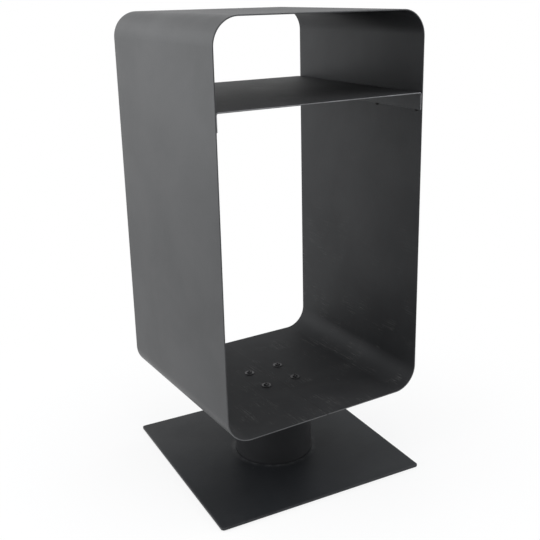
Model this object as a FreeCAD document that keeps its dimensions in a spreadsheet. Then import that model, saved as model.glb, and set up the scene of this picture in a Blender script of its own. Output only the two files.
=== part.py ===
"""A free-standing log holder that swivels on its pedestal.

A sheet-steel tube, open at the front and the back and crossed by one shelf, turns on a ring
bearing that is sunk into the top of a round pedestal on a square floor plate.
Millimetres, +Z up, the front faces -Y, and the origin is on the swivel axis at the floor.
"""
import FreeCAD, Part
import os
import Sketcher

# Driving sizes: alias, value in millimetres, degrees or pieces, and what it measures
SIZES = [
    ("tube_width", 400, "outside width of the bent tube"),
    ("tube_depth", 380, "depth of the tube, front edge to back edge"),
    ("tube_height", 690, "outside height of the tube"),
    ("tube_corner_radius", 45, "outside radius of the tube's four bends"),
    ("tube_sheet", 2, "thickness of the tube's sheet"),
    ("seam_width", 2, "width of the butt weld that closes the tube"),
    ("upper_bay_height", 138, "from the tube's top to the shelf's upper face"),
    ("shelf_sheet", 2, "thickness of the shelf's sheet"),
    ("shelf_flange", 30, "height of the shelf's end flanges"),
    ("shelf_bend_inside", 2, "inside radius of the shelf's bends"),
    ("shelf_setback", 1, "from the tube's edges to the shelf's edges"),
    ("tack_length", 8, "length of one tack weld under a shelf flange"),
    ("tack_leg", 4, "height of a tack weld on the tube's wall"),
    ("tack_end_inset", 15, "from the tube's edge to the middle of the outer tacks"),
    ("tack_inner_inset", 124, "from the tube's edge to the middle of the inner tacks"),
    ("plate_side", 410, "side of the square floor plate"),
    ("plate_thickness", 4, "thickness of the floor plate"),
    ("plate_corner_radius", 6, "radius of the plate's corners"),
    ("plate_turn", 4, "how far the base stands turned clockwise under the tube"),
    ("pad_diameter", 30, "diameter of a felt floor pad"),
    ("pad_thickness", 2, "thickness of a felt floor pad"),
    ("pad_inset", 30, "from the plate's edges to a pad's centre"),
    ("pedestal_diameter", 150, "outside diameter of the pedestal"),
    ("pedestal_wall", 3, "wall of the pedestal"),
    ("pedestal_height", 148, "length of the pedestal tube"),
    ("foot_weld_leg", 4, "leg of the weld inside the pedestal's foot"),
    ("head_thickness", 6, "thickness of the ring that carries the bearing"),
    ("head_bore", 76, "diameter of the hole in that ring"),
    ("head_fit", 0.2, "gap between that ring and the pedestal's bore"),
    ("head_weld_gap", 0.5, "gap between the head's weld and the bearing"),
    ("bearing_clearance", 2, "gap between the bearing and the pedestal's bore"),
    ("outer_ring_width", 15, "radial width of the fixed ring"),
    ("inner_ring_width", 15, "radial width of the turning ring"),
    ("ring_gap", 1.8, "gap between the two rings"),
    ("ring_lift", 0.5, "gap between the turning ring and the head"),
    ("rim_gap", 2, "gap between the pedestal's rim and the tube"),
    ("ball_diameter", 6, "diameter of a bearing ball"),
    ("ball_count", 24, "balls in the bearing"),
    ("race_clearance", 0.3, "gap between a ball and its race or cage"),
    ("race_land", 1.5, "metal of the fixed ring above and below a ball"),
    ("cage_clearance", 0.4, "gap between the cage and the rings"),
    ("cage_end_gap", 0.5, "from the fixed ring's faces to the cage's ends"),
    ("plug_gap", 0.4, "gap between the filling plug and the balls"),
    ("plug_recess", 0.5, "how far the filling plug lies inside the ring"),
    ("screw_count", 4, "screws round each ring"),
    ("ring_screw_diameter", 5, "thread of the countersunk screws"),
    ("ring_screw_head", 10, "head diameter of the countersunk screws"),
    ("ring_screw_key", 3, "key of the countersunk screws, across flats"),
    ("ring_screw_grip", 5, "how far these screws reach into the head"),
    ("carrier_screw_diameter", 6, "thread of the button-head screws"),
    ("carrier_screw_head", 10.5, "head diameter of the button-head screws"),
    ("carrier_screw_rise", 3.3, "head height of the button-head screws"),
    ("carrier_screw_key", 4, "key of the button-head screws, across flats"),
    ("carrier_screw_grip", 8, "how far these screws reach into the turning ring"),
    ("socket_depth", 1.8, "depth of a key socket"),
    ("washer_diameter", 18, "outside diameter of the washers"),
    ("washer_thickness", 1.6, "thickness of the washers"),
    ("hole_clearance", 0.3, "gap round a screw in a plain hole"),
    ("seat_clearance", 0.05, "gap round a thread, a countersunk head or the plug"),
]

FULL_TURN = 360
KEY_SIDES = 6
ON_LINE = 0.001

# How the sketcher numbers the points of its geometry
ORIGIN, ORIGIN_POINT = -1, 1
LINE_START, LINE_END = 1, 2
CIRCLE_CENTRE = 3

# Feature settings whose text is a choice and not an expression
CHOICES = ("SideType", "Type")

# Levels above the floor
PLATE_TOP = "(Sizes.pad_thickness + Sizes.plate_thickness)"
PEDESTAL_TOP = f"({PLATE_TOP} + Sizes.pedestal_height)"
RING_HEIGHT = "(Sizes.ball_diameter + 2 * Sizes.race_land)"
HEAD_TOP = f"({PEDESTAL_TOP} - {RING_HEIGHT})"
TUBE_BOTTOM = f"({PEDESTAL_TOP} + Sizes.rim_gap)"
TUBE_FLOOR = f"({TUBE_BOTTOM} + Sizes.tube_sheet)"
SHELF_TOP = f"({TUBE_BOTTOM} + Sizes.tube_height - Sizes.upper_bay_height)"
FLANGE_BOTTOM = f"({SHELF_TOP} - Sizes.shelf_flange)"

# Radii about the swivel axis, from the pedestal inwards
BORE = "(Sizes.pedestal_diameter / 2 - Sizes.pedestal_wall)"
OUTER_RING = f"({BORE} - Sizes.bearing_clearance)"
OUTER_RING_BORE = f"({OUTER_RING} - Sizes.outer_ring_width)"
BALL_CIRCLE = f"({OUTER_RING_BORE} - Sizes.ring_gap / 2)"
INNER_RING = f"({BALL_CIRCLE} - Sizes.ring_gap / 2)"
INNER_RING_BORE = f"({INNER_RING} - Sizes.inner_ring_width)"
RACE = "(Sizes.ball_diameter / 2 + Sizes.race_clearance)"
CAGE_HALF = "(Sizes.ring_gap / 2 - Sizes.cage_clearance)"

# Screws stand on the diagonals, so a screw circle's radius is divided by the root of two
OUTER_SCREW_PLACE = f"(({OUTER_RING} + {OUTER_RING_BORE}) / 2 / sqrt(2))"
INNER_SCREW_PLACE = f"(({INNER_RING} + {INNER_RING_BORE}) / 2 / sqrt(2))"

RING_SCREW_SINK = "((Sizes.ring_screw_head - Sizes.ring_screw_diameter) / 2)"
CARRIER_HOLE = "(Sizes.carrier_screw_diameter / 2 + Sizes.hole_clearance)"

# Half sizes of the tube and the shelf
TUBE_HALF = "(Sizes.tube_width / 2)"
WALL_INSIDE = "(Sizes.tube_width / 2 - Sizes.tube_sheet)"
SHELF_DEPTH = "(Sizes.tube_depth - 2 * Sizes.shelf_setback)"
SHELF_INSIDE = f"({WALL_INSIDE} - Sizes.shelf_sheet)"

doc = FreeCAD.newDocument("log_holder")
sheet = doc.addObject("Spreadsheet::Sheet", "Sizes")
for row, (alias, value, meaning) in enumerate(SIZES, start=1):
    sheet.set(f"A{row}", meaning)
    sheet.set(f"B{row}", str(value))
    sheet.setAlias(f"B{row}", alias)
doc.recompute()

bodies = []


# Bodies and sketches

def new_body(label, level="0", turned=False):
    """Start a piece at a level above the floor, turned with the base where it belongs to it."""
    body = doc.addObject("PartDesign::Body", label)
    body.Label = label
    if turned:
        downwards = FreeCAD.Vector(0, 0, -1)
        body.Placement = FreeCAD.Placement(FreeCAD.Vector(), FreeCAD.Rotation(downwards, sheet.plate_turn))
        body.setExpression("Placement.Rotation.Angle", "Sizes.plate_turn")
    body.setExpression("Placement.Base.z", level)
    bodies.append(body)
    return body


def origin_part(body, role):
    """Give the plane or axis of a body's own origin that has this role."""
    return next(part for part in body.Origin.OriginFeatures if part.Role == role)


def new_sketch(body, role, offset="0"):
    """Start a sketch on a plane of the body's origin, moved along the plane's normal."""
    sketch = body.newObject("Sketcher::SketchObject", "Sketch")
    sketch.AttachmentSupport = [(origin_part(body, role), "")]
    sketch.MapMode = "FlatFace"
    sketch.setExpression("AttachmentOffset.Base.z", offset)
    return sketch


def drive(sketch, constraint, expression):
    """Add a dimension to a sketch and bind it to an expression."""
    index = sketch.addConstraint(constraint)
    sketch.setExpression(f"Constraints[{index}]", expression)


def place_point(sketch, geometry, point, x, y):
    """Hold one point of a sketch at the distances from the origin that two expressions give."""
    for kind, expression in (("DistanceX", x), ("DistanceY", y)):
        distance = sketch.evalExpression(expression)
        drive(sketch, Sketcher.Constraint(kind, ORIGIN, ORIGIN_POINT, geometry, point, distance), expression)


def draw_circle(sketch, radius, x="0", y="0"):
    """Draw a circle whose radius and centre are expressions."""
    centre = FreeCAD.Vector(sketch.evalExpression(x), sketch.evalExpression(y), 0)
    size = sketch.evalExpression(radius)
    circle = sketch.addGeometry(Part.Circle(centre, FreeCAD.Vector(0, 0, 1), size))
    place_point(sketch, circle, CIRCLE_CENTRE, x, y)
    drive(sketch, Sketcher.Constraint("Radius", circle, size), radius)


def draw_outline(sketch, corners):
    """Draw a closed outline of straight sides through corners given as pairs of expressions."""
    places = [FreeCAD.Vector(sketch.evalExpression(x), sketch.evalExpression(y), 0) for x, y in corners]
    sides = []
    for here, there in zip(places, places[1:] + places[:1]):
        sides.append(sketch.addGeometry(Part.LineSegment(here, there)))
    for number, (x, y) in enumerate(corners):
        ends = (sides[number - 1], LINE_END, sides[number], LINE_START)
        sketch.addConstraint(Sketcher.Constraint("Coincident", *ends))
        place_point(sketch, sides[number], LINE_START, x, y)


def draw_rectangle(sketch, left, right, low, high):
    """Draw an upright rectangle between four expressions."""
    draw_outline(sketch, [(left, low), (right, low), (right, high), (left, high)])


# Features

def new_feature(body, kind, place=None, **settings):
    """Add a feature, bind the settings given as text and set the others, and recompute it."""
    feature = body.newObject(f"PartDesign::{kind}", kind)
    if place:
        feature.AttachmentSupport = [(origin_part(body, "XY_Plane"), "")]
        feature.MapMode = "FlatFace"
        for axis, distance in zip("xyz", place):
            feature.setExpression(f"AttachmentOffset.Base.{axis}", distance)
    for name, setting in settings.items():
        if isinstance(setting, str) and name not in CHOICES:
            feature.setExpression(name, setting)
        else:
            setattr(feature, name, setting)
    body.Tip = feature
    doc.recompute()
    return feature


def cut(body, kind, **settings):
    """Add a feature that takes material away, and stop if it took none."""
    before = body.Shape.Volume
    feature = new_feature(body, kind, **settings)
    if not body.Shape.Volume < before:
        raise RuntimeError(f"{feature.Name} cuts nothing from {body.Label}")
    return feature


def pad(body, sketch, length, side="One side"):
    """Raise a sketch to a solid."""
    return new_feature(body, "Pad", Profile=sketch, SideType=side, Length=length)


def revolve(body, kind, sketch):
    """Turn a sketch on the XZ plane right round the swivel axis, as a Revolution or a Groove."""
    add = new_feature if kind == "Revolution" else cut
    return add(body, kind, Profile=sketch, ReferenceAxis=(sketch, ["V_Axis"]), Angle=FULL_TURN)


def repeat(body, features, count):
    """Repeat features evenly round the swivel axis."""
    axis = (origin_part(body, "Z_Axis"), [""])
    return new_feature(body, "PolarPattern", Originals=features, Axis=axis, Angle=FULL_TURN,
                       Occurrences=count)


def round_edges(body, feature, corners, radius, across):
    """Round the edges that cross a plane, such as xz, at corners given as pairs of expressions."""
    places = [[body.evalExpression(expression) for expression in corner] for corner in corners]
    names = []
    for number, edge in enumerate(feature.Shape.Edges, start=1):
        for place in places:
            ends = [abs(getattr(vertex.Point, axis) - distance)
                    for vertex in edge.Vertexes for axis, distance in zip(across, place)]
            if max(ends) < ON_LINE:
                names.append(f"Edge{number}")
    if len(names) != len(corners):
        raise RuntimeError(f"{body.Label} has {len(names)} edges to round, not {len(corners)}")
    return new_feature(body, "Fillet", Base=(feature, names), Radius=radius)


def ring_blank(body, radius, bore, height):
    """Raise a flat ring from the XY plane."""
    sketch = new_sketch(body, "XY_Plane")
    draw_circle(sketch, radius)
    draw_circle(sketch, bore)
    return pad(body, sketch, height)


def corner_weld(label, level, radius, leg):
    """Run a fillet weld round the inside of a bore, on the floor of it."""
    body = new_body(label, level, turned=True)
    sketch = new_sketch(body, "XZ_Plane")
    draw_outline(sketch, [(radius, "0"), (radius, leg), (f"{radius} - {leg}", "0")])
    revolve(body, "Revolution", sketch)


# Floor plate and pads

def make_base_plate():
    body = new_body("base_plate", "Sizes.pad_thickness", turned=True)
    half = "(Sizes.plate_side / 2)"
    sketch = new_sketch(body, "XY_Plane")
    draw_rectangle(sketch, f"-{half}", half, f"-{half}", half)
    plate = pad(body, sketch, "Sizes.plate_thickness")
    corners = [(x, y) for x in (f"-{half}", half) for y in (f"-{half}", half)]
    round_edges(body, plate, corners, "Sizes.plate_corner_radius", "xy")


def make_floor_pads():
    reach = "(Sizes.plate_side / 2 - Sizes.pad_inset)"
    for end, y in (("front", f"-{reach}"), ("back", reach)):
        for side, x in (("left", f"-{reach}"), ("right", reach)):
            body = new_body(f"floor_pad_{end}_{side}", turned=True)
            sketch = new_sketch(body, "XY_Plane")
            draw_circle(sketch, "Sizes.pad_diameter / 2", x, y)
            pad(body, sketch, "Sizes.pad_thickness")


# Pedestal

def make_pedestal_tube():
    body = new_body("pedestal_tube", PLATE_TOP, turned=True)
    ring_blank(body, "Sizes.pedestal_diameter / 2", BORE, "Sizes.pedestal_height")


def make_pedestal_head():
    body = new_body("pedestal_head", f"{HEAD_TOP} - Sizes.head_thickness", turned=True)
    ring_blank(body, f"{BORE} - Sizes.head_fit", "Sizes.head_bore / 2", "Sizes.head_thickness")
    thread = cut(body, "SubtractiveCylinder", place=(OUTER_SCREW_PLACE, OUTER_SCREW_PLACE, "0"),
                 Radius="Sizes.ring_screw_diameter / 2 + Sizes.seat_clearance", Height="Sizes.head_thickness")
    repeat(body, [thread], "Sizes.screw_count")


def make_pedestal_welds():
    corner_weld("pedestal_foot_weld", PLATE_TOP, BORE, "Sizes.foot_weld_leg")
    corner_weld("pedestal_head_weld", HEAD_TOP, BORE, "(Sizes.bearing_clearance - Sizes.head_weld_gap)")


# Ring bearing

def cut_race(body, centre_level):
    """Turn the ball race into a ring, at a level above the ring's own underside."""
    sketch = new_sketch(body, "XZ_Plane")
    draw_circle(sketch, RACE, BALL_CIRCLE, centre_level)
    revolve(body, "Groove", sketch)


def make_outer_ring():
    body = new_body("bearing_outer_ring", HEAD_TOP, turned=True)
    ring_blank(body, OUTER_RING, OUTER_RING_BORE, RING_HEIGHT)
    cut_race(body, f"{RING_HEIGHT} / 2")
    filling = new_sketch(body, "YZ_Plane")
    draw_circle(filling, RACE, "0", f"{RING_HEIGHT} / 2")
    cut(body, "Pocket", Profile=filling, Reversed=True, Length=OUTER_RING)
    thread = "Sizes.ring_screw_diameter / 2"
    place = (OUTER_SCREW_PLACE, OUTER_SCREW_PLACE)
    hole = cut(body, "SubtractiveCylinder", place=(*place, "0"),
               Radius=f"{thread} + Sizes.hole_clearance", Height=RING_HEIGHT)
    seat = cut(body, "SubtractiveCone", place=(*place, f"{RING_HEIGHT} - {RING_SCREW_SINK}"),
               Radius1=f"{thread} + Sizes.seat_clearance",
               Radius2="Sizes.ring_screw_head / 2 + Sizes.seat_clearance", Height=RING_SCREW_SINK)
    repeat(body, [hole, seat], "Sizes.screw_count")


def make_outer_ring_screws():
    body = new_body("outer_ring_screws", PEDESTAL_TOP, turned=True)
    thread = "Sizes.ring_screw_diameter / 2"
    length = f"({RING_HEIGHT} + Sizes.ring_screw_grip)"
    place = (OUTER_SCREW_PLACE, OUTER_SCREW_PLACE)
    shank = new_feature(body, "AdditiveCylinder", place=(*place, f"-{length}"), Radius=thread, Height=length)
    head = new_feature(body, "AdditiveCone", place=(*place, f"-{RING_SCREW_SINK}"),
                       Radius1=thread, Radius2="Sizes.ring_screw_head / 2", Height=RING_SCREW_SINK)
    socket = cut(body, "SubtractivePrism", place=(*place, "-Sizes.socket_depth"), Polygon=KEY_SIDES,
                 Circumradius="Sizes.ring_screw_key / sqrt(3)", Height="Sizes.socket_depth")
    repeat(body, [shank, head, socket], "Sizes.screw_count")


def make_ball_fill_plug():
    body = new_body("ball_fill_plug", HEAD_TOP, turned=True)
    start = f"({BALL_CIRCLE} + Sizes.ball_diameter / 2 + Sizes.plug_gap)"
    sketch = new_sketch(body, "YZ_Plane", start)
    draw_circle(sketch, f"{RACE} - Sizes.seat_clearance", "0", f"{RING_HEIGHT} / 2")
    pad(body, sketch, f"{OUTER_RING} - Sizes.plug_recess - {start}")


def make_bearing_balls():
    body = new_body("bearing_balls", f"{HEAD_TOP} + {RING_HEIGHT} / 2", turned=True)
    ball = new_feature(body, "AdditiveSphere", place=(BALL_CIRCLE, "0", "0"),
                       Radius="Sizes.ball_diameter / 2")
    repeat(body, [ball], "Sizes.ball_count")


def make_ball_cage():
    body = new_body("ball_cage", f"{HEAD_TOP} + Sizes.cage_end_gap", turned=True)
    height = f"({RING_HEIGHT} - 2 * Sizes.cage_end_gap)"
    ring_blank(body, f"{BALL_CIRCLE} + {CAGE_HALF}", f"{BALL_CIRCLE} - {CAGE_HALF}", height)
    sketch = new_sketch(body, "YZ_Plane")
    draw_circle(sketch, RACE, "0", f"{height} / 2")
    window = cut(body, "Pocket", Profile=sketch, Reversed=True, Length=OUTER_RING_BORE)
    repeat(body, [window], "Sizes.ball_count")


def make_inner_ring():
    body = new_body("bearing_inner_ring", f"{HEAD_TOP} + Sizes.ring_lift")
    height = f"({RING_HEIGHT} - Sizes.ring_lift + Sizes.rim_gap)"
    ring_blank(body, INNER_RING, INNER_RING_BORE, height)
    cut_race(body, f"{RING_HEIGHT} / 2 - Sizes.ring_lift")
    thread = cut(body, "SubtractiveCylinder", place=(INNER_SCREW_PLACE, INNER_SCREW_PLACE, "0"),
                 Radius="Sizes.carrier_screw_diameter / 2 + Sizes.seat_clearance", Height=height)
    repeat(body, [thread], "Sizes.screw_count")


# Fastening of the tube

def make_carrier_washers():
    body = new_body("carrier_washers", TUBE_FLOOR)
    sketch = new_sketch(body, "XY_Plane")
    draw_circle(sketch, "Sizes.washer_diameter / 2", INNER_SCREW_PLACE, INNER_SCREW_PLACE)
    draw_circle(sketch, CARRIER_HOLE, INNER_SCREW_PLACE, INNER_SCREW_PLACE)
    washer = pad(body, sketch, "Sizes.washer_thickness")
    repeat(body, [washer], "Sizes.screw_count")


def make_carrier_screws():
    body = new_body("carrier_screws", f"{TUBE_FLOOR} + Sizes.washer_thickness")
    length = "(Sizes.washer_thickness + Sizes.tube_sheet + Sizes.carrier_screw_grip)"
    place = (INNER_SCREW_PLACE, INNER_SCREW_PLACE)
    shank = new_feature(body, "AdditiveCylinder", place=(*place, f"-{length}"),
                        Radius="Sizes.carrier_screw_diameter / 2", Height=length)
    head = new_feature(body, "AdditiveEllipsoid", place=(*place, "0"), Angle1=0,
                       Radius1="Sizes.carrier_screw_rise", Radius2="Sizes.carrier_screw_head / 2",
                       Radius3="Sizes.carrier_screw_head / 2")
    socket = cut(body, "SubtractivePrism", place=(*place, "Sizes.carrier_screw_rise - Sizes.socket_depth"),
                 Polygon=KEY_SIDES, Circumradius="Sizes.carrier_screw_key / sqrt(3)",
                 Height="Sizes.socket_depth")
    repeat(body, [shank, head, socket], "Sizes.screw_count")


# Tube and shelf

def make_shell():
    body = new_body("shell", TUBE_BOTTOM)
    low, high = "Sizes.tube_sheet", "(Sizes.tube_height - Sizes.tube_sheet)"
    outer_corners = [(x, z) for x in (f"-{TUBE_HALF}", TUBE_HALF) for z in ("0", "Sizes.tube_height")]
    inner_corners = [(x, z) for x in (f"-{WALL_INSIDE}", WALL_INSIDE) for z in (low, high)]
    outside = new_sketch(body, "XZ_Plane")
    draw_rectangle(outside, f"-{TUBE_HALF}", TUBE_HALF, "0", "Sizes.tube_height")
    pad(body, outside, "Sizes.tube_depth", "Symmetric")
    inside = new_sketch(body, "XZ_Plane")
    draw_rectangle(inside, f"-{WALL_INSIDE}", WALL_INSIDE, low, high)
    hollow = cut(body, "Pocket", Profile=inside, SideType="Symmetric", Length="Sizes.tube_depth")
    bend = round_edges(body, hollow, inner_corners, "Sizes.tube_corner_radius - Sizes.tube_sheet", "xz")
    round_edges(body, bend, outer_corners, "Sizes.tube_corner_radius", "xz")
    seam = new_sketch(body, "XZ_Plane")
    draw_rectangle(seam, "-Sizes.seam_width / 2", "Sizes.seam_width / 2", "0", "Sizes.tube_sheet")
    cut(body, "Pocket", Profile=seam, SideType="Symmetric", Length="Sizes.tube_depth")
    hole = cut(body, "SubtractiveCylinder", place=(INNER_SCREW_PLACE, INNER_SCREW_PLACE, "0"),
               Radius=CARRIER_HOLE, Height="Sizes.tube_sheet")
    repeat(body, [hole], "Sizes.screw_count")


def make_shell_seam_weld():
    body = new_body("shell_seam_weld", TUBE_BOTTOM)
    sketch = new_sketch(body, "XZ_Plane")
    draw_rectangle(sketch, "-Sizes.seam_width / 2", "Sizes.seam_width / 2", "0", "Sizes.tube_sheet")
    pad(body, sketch, "Sizes.tube_depth", "Symmetric")


def make_shelf():
    body = new_body("shelf", FLANGE_BOTTOM)
    under = "(Sizes.shelf_flange - Sizes.shelf_sheet)"
    outer_bends = [(x, "Sizes.shelf_flange") for x in (f"-{WALL_INSIDE}", WALL_INSIDE)]
    inner_bends = [(x, under) for x in (f"-{SHELF_INSIDE}", SHELF_INSIDE)]
    outside = new_sketch(body, "XZ_Plane")
    draw_rectangle(outside, f"-{WALL_INSIDE}", WALL_INSIDE, "0", "Sizes.shelf_flange")
    pad(body, outside, SHELF_DEPTH, "Symmetric")
    inside = new_sketch(body, "XZ_Plane")
    draw_rectangle(inside, f"-{SHELF_INSIDE}", SHELF_INSIDE, "0", under)
    hollow = cut(body, "Pocket", Profile=inside, SideType="Symmetric", Length=SHELF_DEPTH)
    bend = round_edges(body, hollow, inner_bends, "Sizes.shelf_bend_inside", "xz")
    round_edges(body, bend, outer_bends, "Sizes.shelf_bend_inside + Sizes.shelf_sheet", "xz")


def make_shelf_welds():
    for side, sign in (("left", "-"), ("right", "")):
        body = new_body(f"shelf_welds_{side}", FLANGE_BOTTOM)
        wall, edge = f"{sign}{WALL_INSIDE}", f"{sign}{SHELF_INSIDE}"
        tacks = []
        for inset in ("Sizes.tack_end_inset", "Sizes.tack_inner_inset"):
            sketch = new_sketch(body, "XZ_Plane", f"Sizes.tube_depth / 2 - {inset}")
            draw_outline(sketch, [(wall, "0"), (edge, "0"), (wall, "-Sizes.tack_leg")])
            tacks.append(pad(body, sketch, "Sizes.tack_length", "Symmetric"))
        new_feature(body, "Mirrored", Originals=tacks, MirrorPlane=(origin_part(body, "XZ_Plane"), [""]))


# Check and export

def check_document():
    """Stop if any object failed to recompute or any piece has no valid shape."""
    doc.recompute()
    for item in doc.Objects:
        if {"Invalid", "Error"} & set(item.State):
            raise RuntimeError(f"{item.Name} failed: {item.State}")
    for body in bodies:
        if body.Shape.isNull() or not body.Shape.isValid() or not body.Shape.Solids:
            raise RuntimeError(f"{body.Label} has no valid solid")


def export_pieces():
    """Write each piece to a file of its own name."""
    os.makedirs("parts", exist_ok=True)
    for body in bodies:
        body.Shape.exportStep(f"parts/{body.Label}.step")


make_base_plate()
make_floor_pads()
make_pedestal_tube()
make_pedestal_head()
make_pedestal_welds()
make_outer_ring()
make_outer_ring_screws()
make_ball_fill_plug()
make_bearing_balls()
make_ball_cage()
make_inner_ring()
make_carrier_washers()
make_carrier_screws()
make_shell()
make_shell_seam_weld()
make_shelf()
make_shelf_welds()
check_document()
export_pieces()
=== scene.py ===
"""Looks of the swivelling log holder: satin charcoal sheet steel on a round pedestal and a square plate.

Every piece is in metres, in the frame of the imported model. The tube, its shelf and their fastenings
ride on the body "carrier"; the plate, its pads, the pedestal and its welds ride on "base".
"""

import math

import bmesh
import bpy
from mathutils import Matrix, Vector, noise


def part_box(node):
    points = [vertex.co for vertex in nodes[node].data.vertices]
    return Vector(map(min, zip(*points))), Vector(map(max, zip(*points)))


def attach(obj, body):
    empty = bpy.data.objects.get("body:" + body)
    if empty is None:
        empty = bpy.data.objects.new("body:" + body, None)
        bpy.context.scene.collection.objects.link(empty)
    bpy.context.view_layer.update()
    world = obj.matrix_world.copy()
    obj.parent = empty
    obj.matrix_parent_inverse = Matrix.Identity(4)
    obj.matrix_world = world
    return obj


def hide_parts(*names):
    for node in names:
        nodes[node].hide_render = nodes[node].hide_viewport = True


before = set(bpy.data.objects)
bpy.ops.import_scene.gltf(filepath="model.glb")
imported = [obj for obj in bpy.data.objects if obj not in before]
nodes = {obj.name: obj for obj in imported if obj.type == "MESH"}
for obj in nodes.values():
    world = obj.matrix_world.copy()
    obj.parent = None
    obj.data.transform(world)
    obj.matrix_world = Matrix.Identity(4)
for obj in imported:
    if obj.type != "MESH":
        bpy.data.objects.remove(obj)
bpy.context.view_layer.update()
scene = bpy.context.scene

MM = 0.001
BASE_TURN = math.radians(-4)
FULL_TURN = 2 * math.pi
QUARTER = math.pi / 2

# Sizes that the boxes of the nodes do not give
SHEET = 2 * MM
TUBE_BEND = 45 * MM
SHELF_BEND = 4 * MM
SEAM_HALF = 1 * MM
PLATE_SIDE = 410 * MM
PLATE_CORNER = 6 * MM
PEDESTAL_WALL = 3 * MM
RING_BEAD_RADIUS = 72 * MM
SCREW_HEAD_RADIUS = 5.25 * MM
SCREW_HOLE_RADIUS = 3.3 * MM

# Rounding of cut edges, and the angle from which an edge stays sharp
EDGE_ROUND = 0.45 * MM
PLATE_ROUND = 0.6 * MM
BROKEN_EDGE = 0.15 * MM
SHARP_ANGLE = math.radians(40)

# Attributes that the meshes hand to the materials: wear of cut edges, and of faces that the load rubs
# On the tube and the shelf the rim also places a painted highlight along the cut edges
RIM = "rim"
RUB = "rub"
NO_WEAR = 0.0
FULL_WEAR = 1.0


# Mesh helpers

def finish_piece(name, mesh_edit, body, node, turned=False):
    """Turn an edited mesh into a smooth piece that stands for a node and rides on its body."""
    mesh = bpy.data.meshes.new(name)
    bmesh.ops.recalc_face_normals(mesh_edit, faces=mesh_edit.faces)
    mesh_edit.to_mesh(mesh)
    mesh_edit.free()
    if turned:
        mesh.transform(Matrix.Rotation(BASE_TURN, 4, "Z"))
    mesh.shade_smooth()
    mesh.set_sharp_from_angle(angle=SHARP_ANGLE)
    piece = bpy.data.objects.new(name, mesh)
    scene.collection.objects.link(piece)
    weigh = piece.modifiers.new("Even normals", "WEIGHTED_NORMAL")
    weigh.keep_sharp = True
    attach(piece, body)
    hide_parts(node)
    return piece


def add_row(mesh_edit, points, rims=None, rubs=None):
    """Add a row of vertices, with their wear written to the mesh's attributes."""
    layers = mesh_edit.verts.layers.float
    rim_layer = layers.get(RIM) or layers.new(RIM)
    rub_layer = layers.get(RUB) or layers.new(RUB)
    row = []
    for number, point in enumerate(points):
        vertex = mesh_edit.verts.new(point)
        vertex[rim_layer] = rims[number] if rims else NO_WEAR
        vertex[rub_layer] = rubs[number] if rubs else NO_WEAR
        row.append(vertex)
    return row


def bridge(mesh_edit, here, there):
    """Join two closed rows of vertices with quads."""
    count = len(here)
    for number in range(count):
        after = (number + 1) % count
        mesh_edit.faces.new((here[number], here[after], there[after], there[number]))


def skin(mesh_edit, rows):
    """Join closed rows of vertices one after the other, and close the first and the last row."""
    for here, there in zip(rows, rows[1:]):
        bridge(mesh_edit, here, there)
    mesh_edit.faces.new(rows[0])
    mesh_edit.faces.new(rows[-1])


def spread(start, end, steps):
    """Evenly spaced values from start to end, both included."""
    return [start + (end - start) * step / steps for step in range(steps + 1)]


def held(share):
    """A share held between nought and one."""
    return max(0.0, min(1.0, share))


def arc(centre_x, centre_y, radius, start, end, steps):
    """Points along an arc, both ends included."""
    points = []
    for angle in spread(start, end, steps):
        points.append((centre_x + radius * math.cos(angle), centre_y + radius * math.sin(angle)))
    return points


# Bent sheets

def sheet_section(half_depth, shrink):
    """The sheet cut across its bend lines, as inset from the outer face, depth and rim wear."""
    rounding_steps, panel_steps = 4, 10
    support = 3 * MM
    radius = EDGE_ROUND - shrink
    reach = half_depth - EDGE_ROUND
    panel = [-reach, *spread(-half_depth + support, half_depth - support, panel_steps), reach]
    edge = arc(reach, EDGE_ROUND, radius, -QUARTER, 0, rounding_steps)[1:]
    edge += arc(reach, SHEET - EDGE_ROUND, radius, 0, QUARTER, rounding_steps)[:-1]
    section = [(shrink, depth, NO_WEAR) for depth in panel]
    section += [(inset, depth, FULL_WEAR) for depth, inset in edge]
    section += [(SHEET - shrink, depth, NO_WEAR) for depth in reversed(panel)]
    section += [(SHEET - inset, -depth, FULL_WEAR) for depth, inset in edge]
    return section


def sweep_sheet(path, half_depth, rub_at, rim_at, end_rim):
    """Run the sheet's section along a path of places with outward normals, and round its two ends."""
    last = len(path) - 1
    tip_angles = [math.radians(degrees) for degrees in (15, 40, 65)]
    tips = []
    for angle in tip_angles:
        tips.append((EDGE_ROUND * (1 - math.cos(angle)), EDGE_ROUND * (1 - math.sin(angle))))
    runs = [(0, shift, shrink) for shift, shrink in tips]
    runs.append((0, EDGE_ROUND, 0.0))
    runs += [(number, 0.0, 0.0) for number in range(1, last)]
    runs.append((last, -EDGE_ROUND, 0.0))
    runs += [(last, -shift, shrink) for shift, shrink in reversed(tips)]
    mesh_edit = bmesh.new()
    rows = []
    for number, shift, shrink in runs:
        place, normal = path[number]
        along = Vector((-normal.z, 0, normal.x))
        section = sheet_section(half_depth, shrink)
        points = []
        for inset, depth, rim in section:
            point = place - normal * inset + along * shift
            point.y = depth
            points.append(point)
        if shrink:
            rims = [end_rim] * len(section)
        else:
            rims = [rim * rim_at(place, inset) for inset, depth, rim in section]
        rubs = [rub_at(point, inset) for point, (inset, depth, rim) in zip(points, section)]
        rows.append(add_row(mesh_edit, points, rims, rubs))
    skin(mesh_edit, rows)
    return mesh_edit


def add_run(path, start, end, normal, steps):
    """Add a straight run to a sheet's path."""
    for share in spread(0, 1, steps):
        path.append((start.lerp(end, share), normal))


def add_bend(path, centre, radius, start, end, steps):
    """Add a bend to a sheet's path, without its two ends, which the straight runs give."""
    for angle in spread(start, end, steps)[1:-1]:
        normal = Vector((math.cos(angle), 0, math.sin(angle)))
        path.append((centre + normal * radius, normal))


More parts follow.
